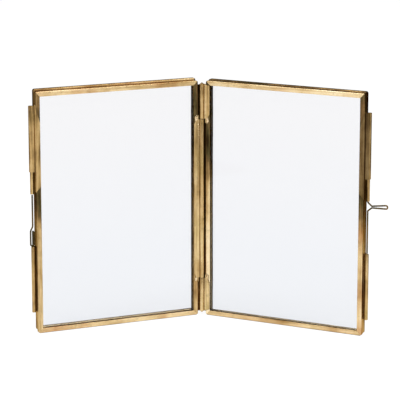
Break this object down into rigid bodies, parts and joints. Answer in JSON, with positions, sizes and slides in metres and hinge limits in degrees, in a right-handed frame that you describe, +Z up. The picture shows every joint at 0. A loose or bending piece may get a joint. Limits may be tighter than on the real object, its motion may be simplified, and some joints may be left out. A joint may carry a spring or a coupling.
{
  "type": "hinged double photo frame",
  "caption": "Folding double photo frame of slim aged-brass channel and clear glass, hinged like a book, with hinged glass backs held by bent wire pins at the outer sides.",
  "frame": {"origin": "middle of the footprint of the whole frame as it stands open, at table level", "axes": "+Z up, -Y towards the viewer whom both pictures face, +X to the viewer's right"},
  "size_m": [0.266, 0.0704, 0.1855],
  "materials": {
    "aged_brass": "hand-worked sheet brass, aged and brushed, with dark patches",
    "pin_brass": "drawn brass rod and tube, dull",
    "wire_brass": "drawn brass wire, aged",
    "glass": "clear float glass"
  },
  "bodies": {
    "left_front_leaf": {"left_front_bottom_rail": "aged_brass", "left_front_top_rail": "aged_brass", "left_front_inner_stile": "aged_brass", "left_front_outer_stile": "aged_brass", "left_front_pane": "glass", "left_upper_clasp_plate": "aged_brass", "left_upper_sleeve": "pin_brass", "left_lower_rear_hinge_strap": "aged_brass", "left_lower_rear_hinge_pin": "pin_brass", "left_upper_rear_hinge_strap": "aged_brass", "left_upper_rear_hinge_pin": "pin_brass", "left_middle_hinge_leaf": "aged_brass", "book_hinge_pin": "pin_brass"},
    "left_back_leaf": {"left_back_bottom_rail": "aged_brass", "left_back_top_rail": "aged_brass", "left_back_inner_stile": "aged_brass", "left_back_outer_stile": "aged_brass", "left_back_pane": "glass", "left_lower_clasp_plate": "aged_brass", "left_lower_rear_hinge_plate": "aged_brass", "left_upper_rear_hinge_plate": "aged_brass"},
    "left_wire_pin": {"left_wire_pin": "wire_brass"},
    "right_front_leaf": {"right_front_bottom_rail": "aged_brass", "right_front_top_rail": "aged_brass", "right_front_inner_stile": "aged_brass", "right_front_outer_stile": "aged_brass", "right_front_pane": "glass", "right_upper_clasp_plate": "aged_brass", "right_upper_sleeve": "pin_brass", "right_lower_rear_hinge_strap": "aged_brass", "right_lower_rear_hinge_pin": "pin_brass", "right_upper_rear_hinge_strap": "aged_brass", "right_upper_rear_hinge_pin": "pin_brass", "right_top_hinge_leaf": "aged_brass", "right_bottom_hinge_leaf": "aged_brass"},
    "right_back_leaf": {"right_back_bottom_rail": "aged_brass", "right_back_top_rail": "aged_brass", "right_back_inner_stile": "aged_brass", "right_back_outer_stile": "aged_brass", "right_back_pane": "glass", "right_lower_clasp_plate": "aged_brass", "right_lower_rear_hinge_plate": "aged_brass", "right_upper_rear_hinge_plate": "aged_brass"},
    "right_wire_pin": {"right_wire_pin": "wire_brass"}
  },
  "joints": [
    {"name": "book_hinge", "type": "hinge", "parent": "left_front_leaf", "child": "right_front_leaf", "pos_m": [-0.00642, 0.02766, 0.092], "axis": [0, 0, 1], "range_deg": [-128, 52]},
    {"name": "left_back_hinge", "type": "hinge", "parent": "left_front_leaf", "child": "left_back_leaf", "pos_m": [-0.01145, 0.03421, 0.092], "axis": [0, 0, -1], "range_deg": [0, 90]},
    {"name": "right_back_hinge", "type": "hinge", "parent": "right_front_leaf", "child": "right_back_leaf", "pos_m": [-0.00138, 0.03421, 0.092], "axis": [0, 0, 1], "range_deg": [0, 90]},
    {"name": "left_wire_slide", "type": "slide", "parent": "left_back_leaf", "child": "left_wire_pin", "axis": [0, 0, 1], "range_m": [0, 0.016]},
    {"name": "right_wire_slide", "type": "slide", "parent": "right_front_leaf", "child": "right_wire_pin", "axis": [0, 0, -1], "range_m": [0, 0.031]}
  ]
}
